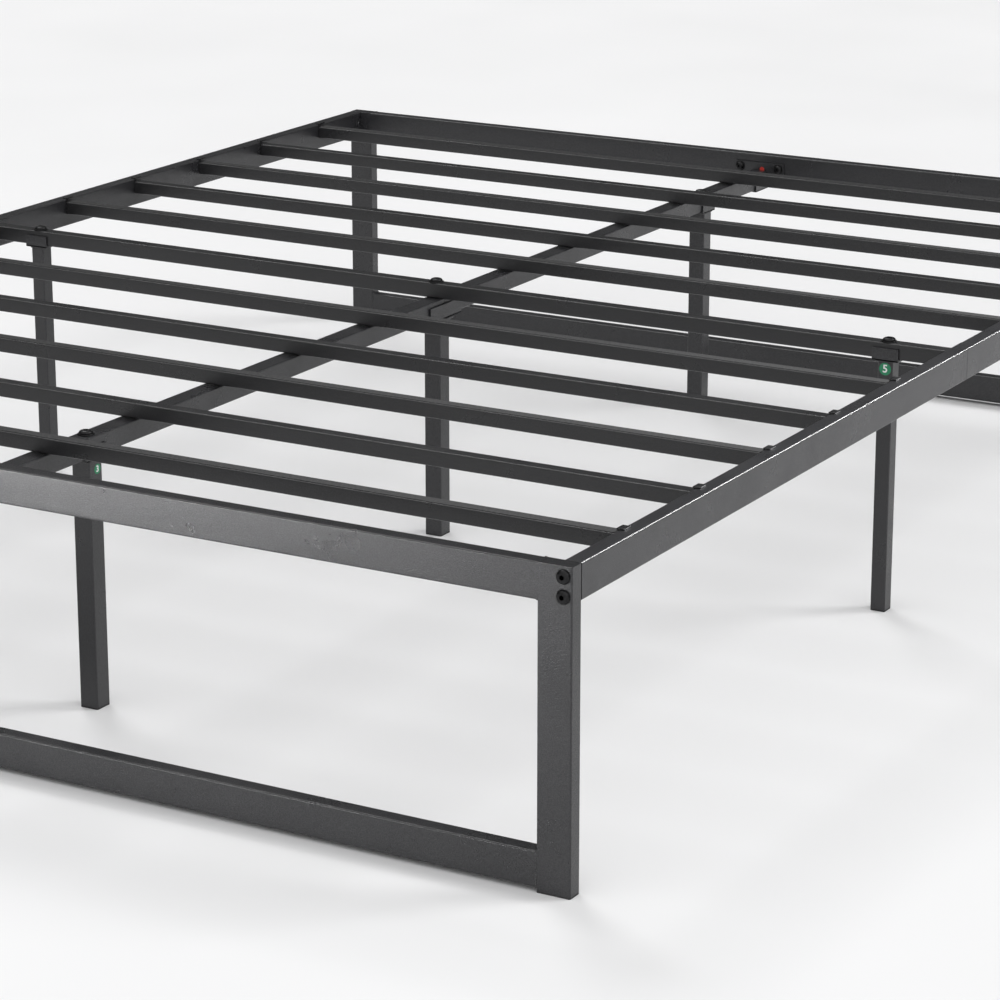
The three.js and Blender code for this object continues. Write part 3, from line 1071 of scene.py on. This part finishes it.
@dataclass
class StepLabels:
    """Small round assembly-step labels and one plain red dot."""

    paint: Paintbox
    radius: float = 8.0 * MM
    sheet: float = 0.15 * MM
    stroke: float = 0.25 * MM
    relief: float = 0.06 * MM
    lift: float = 0.05 * MM
    small: float = 0.75
    digit_share: float = 1.75
    dot_radius: float = 4.0 * MM
    dot_sheet: float = 0.3 * MM

    def build(self) -> None:
        """Places the labels on the support legs and the head bracket."""
        low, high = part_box("support_leg_right")
        place = Vector(((low.x + high.x) / 2, (low.y + high.y) / 2 - 10.0 * MM, high.z - 27.0 * MM))
        self.label("label_right_leg", "5", place, Vector((0, -1, 0)), self.radius)
        low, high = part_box("support_leg_foot")
        place = Vector((12.5 * MM, (low.y + high.y) / 2 + 3.0 * MM, high.z - 29.0 * MM))
        self.label("label_foot_leg", "3", place, Vector((1, 0, 0)), self.radius * self.small)
        low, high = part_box("beam_bracket_head")
        place = Vector((5.0 * MM, high.y - 3.0 * MM, high.z - 11.0 * MM))
        dot = Shaper()
        washer(dot, place, Vector((0, -1, 0)), self.dot_radius, self.dot_sheet)
        dot.finish("label_head_bracket", self.paint.red)

    def label(self, name: str, digit: str, place: Vector, facing: Vector, radius: float) -> None:
        """One round label with a plain digit.

        Args:
            name: The label's name.
            digit: The step number.
            place: Its centre.
            facing: The way it faces.
            radius: Its radius.
        """
        disc = Shaper()
        washer(disc, place, facing, radius, self.sheet)
        disc.finish(name, self.paint.green)
        curve = bpy.data.curves.new(f"{name}_digit", "FONT")
        curve.body = digit
        curve.size = radius * self.digit_share
        curve.offset = self.stroke
        curve.align_x = "CENTER"
        curve.align_y = "CENTER"
        curve.extrude = self.relief
        holder = bpy.data.objects.new(f"{name}_digit", curve)
        bpy.context.scene.collection.objects.link(holder)
        mesh = bpy.data.meshes.new_from_object(holder.evaluated_get(bpy.context.evaluated_depsgraph_get()))
        bpy.data.objects.remove(holder)
        up = Vector((0, 0, 1))
        turn = Matrix((up.cross(facing), up, facing)).transposed().to_4x4()
        mesh.transform(Matrix.Translation(place + facing * (self.sheet + self.lift)) @ turn)
        mesh.materials.clear()
        mesh.materials.append(self.paint.white)
        piece = bpy.data.objects.new(f"{name}_digit", mesh)
        bpy.context.scene.collection.objects.link(piece)
        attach(piece, BODY)
        LOG.info("made %s", piece.name)


@dataclass(frozen=True)
class KeyLight:
    """One far, soft key light."""

    name: str
    place: tuple
    strength: float
    angle: float = math.radians(20)

    def build(self) -> None:
        """Adds the light to the scene, aimed at the middle of the floor."""
        data = bpy.data.lights.new(self.name, "SUN")
        data.energy = self.strength
        data.angle = self.angle
        light = bpy.data.objects.new(self.name, data)
        light.location = self.place
        light.rotation_euler = (-Vector(self.place)).to_track_quat("-Z", "Y").to_euler()
        bpy.context.scene.collection.objects.link(light)


@dataclass(frozen=True)
class Softbox:
    """One soft rectangular light for some of the pieces."""

    name: str
    place: tuple
    target: tuple
    size: tuple
    power: float
    spread: float
    reaches: tuple

    def build(self) -> None:
        """Adds the light to the scene, for the pieces whose names start with one of its words."""
        data = bpy.data.lights.new(self.name, "AREA")
        data.shape = "RECTANGLE"
        data.size, data.size_y = self.size
        data.energy = self.power
        data.spread = self.spread
        light = bpy.data.objects.new(self.name, data)
        light.location = self.place
        aim = Vector(self.target) - Vector(self.place)
        light.rotation_euler = aim.to_track_quat("-Z", "Y").to_euler()
        light.visible_camera = False
        bpy.context.scene.collection.objects.link(light)
        receivers = bpy.data.collections.new(f"{self.name}_receivers")
        for piece in bpy.context.scene.objects:
            if piece.type == "MESH" and piece.name.startswith(self.reaches):
                receivers.objects.link(piece)
        light.light_linking.receiver_collection = receivers


@dataclass
class Studio:
    """Pale floor, soft lights and the camera. It is built last, because softboxes look for their pieces."""

    camera_place: tuple = (2.3250, -3.8898, 1.4081)
    camera_yaw: float = 0.5200
    camera_pitch: float = 0.2918
    lens: float = 125.05
    sensor: float = 36.0
    far_clip: float = 200.0
    floor_size: float = 60.0
    sky_axis: tuple = (0.3, -0.5, 0.81)
    sky: tuple = ((0.3, 0.05), (0.65, 1.0))
    backdrop_tone: tuple = (0.7, 0.7, 0.704)
    ceiling_strength: float = 1.21
    lamps: tuple = (
        KeyLight("right_key", (3.8, 2.8, 4.2), 0.98),
        KeyLight("back_left_key", (-2.8, 2.4, 4.6), 0.8),
        Softbox("back_rim", (2.4, 4.0, 3.2), (0.76, -0.3, 0.35), (0.8, 0.8), 8.5, 0.36,
                ("side_rail_right", "slat_")),
        Softbox("front_left_strip", (-1.8, -3.2, 0.34), (0.12, -1.016, 0.43), (1.0, 0.16), 2.9, 0.42,
                ("foot_",)),
    )

    def build(self) -> None:
        """Builds the stage."""
        self.floor()
        self.surround()
        for lamp in self.lamps:
            lamp.build()
        self.camera()

    def floor(self) -> None:
        """A wide pale floor."""
        bm = bmesh.new()
        bmesh.ops.create_grid(bm, x_segments=4, y_segments=4, size=self.floor_size / 2)
        mesh = bpy.data.meshes.new("studio_floor")
        bm.to_mesh(mesh)
        bm.free()
        mesh.materials.append(StudioPaper().build())
        floor = bpy.data.objects.new("studio_floor", mesh)
        bpy.context.scene.collection.objects.link(floor)

    def surround(self) -> None:
        """A bright ceiling towards the front right, dark behind, seen pale by the camera itself."""
        world = bpy.data.worlds.new("studio_surround")
        world.use_nodes = True
        tree = world.node_tree
        shade = tree.nodes["Background"]
        direction = tree.nodes.new("ShaderNodeTexCoord")
        height = tree.nodes.new("ShaderNodeVectorMath")
        height.operation = "DOT_PRODUCT"
        height.inputs[1].default_value = Vector(self.sky_axis).normalized()
        ramp = tree.nodes.new("ShaderNodeValToRGB")
        rays = tree.nodes.new("ShaderNodeLightPath")
        mix = tree.nodes.new("ShaderNodeMix")
        mix.data_type = "RGBA"
        for stop, (position, level) in zip(ramp.color_ramp.elements, self.sky, strict=True):
            stop.position = position
            stop.color = (level, level, level, 1.0)
        mix.inputs["B"].default_value = (*self.backdrop_tone, 1.0)
        tree.links.new(direction.outputs["Generated"], height.inputs[0])
        tree.links.new(height.outputs["Value"], ramp.inputs["Fac"])
        tree.links.new(ramp.outputs["Color"], mix.inputs["A"])
        tree.links.new(rays.outputs["Is Camera Ray"], mix.inputs["Factor"])
        tree.links.new(mix.outputs["Result"], shade.inputs["Color"])
        shade.inputs["Strength"].default_value = self.ceiling_strength
        bpy.context.scene.world = world

    def camera(self) -> None:
        """The main camera."""
        data = bpy.data.cameras.new("main_camera")
        data.lens = self.lens
        data.sensor_width = self.sensor
        data.clip_end = self.far_clip
        camera = bpy.data.objects.new("main_camera", data)
        camera.location = self.camera_place
        camera.rotation_euler = (math.pi / 2 - self.camera_pitch, 0.0, self.camera_yaw)
        bpy.context.scene.collection.objects.link(camera)
        bpy.context.scene.camera = camera


def main() -> None:
    """Builds the bed frame's looks and the stage."""
    logging.basicConfig(level=logging.INFO, format="%(message)s")
    bpy.context.scene.view_settings.view_transform = "Standard"
    paint = Paintbox()
    for end, sign in ends():
        EndFrame(end, sign, paint).build()
    for side, sign in sides():
        SideRail(side, sign, paint).build()
    SlatSet(paint).build()
    CentreBeam(paint).build()
    for side, _ in sides():
        SupportLeg(side, paint, Axis.X, size=20.0 * MM, radius=1.5 * MM).build()
    for end, _ in ends():
        SupportLeg(end, paint, Axis.Y).build()
    SupportLeg("middle", paint, Axis.Y, open_saddle=True).build()
    CornerBolts(paint).build()
    StepLabels(paint).build()
    Studio().build()


if __name__ == "__main__":
    main()
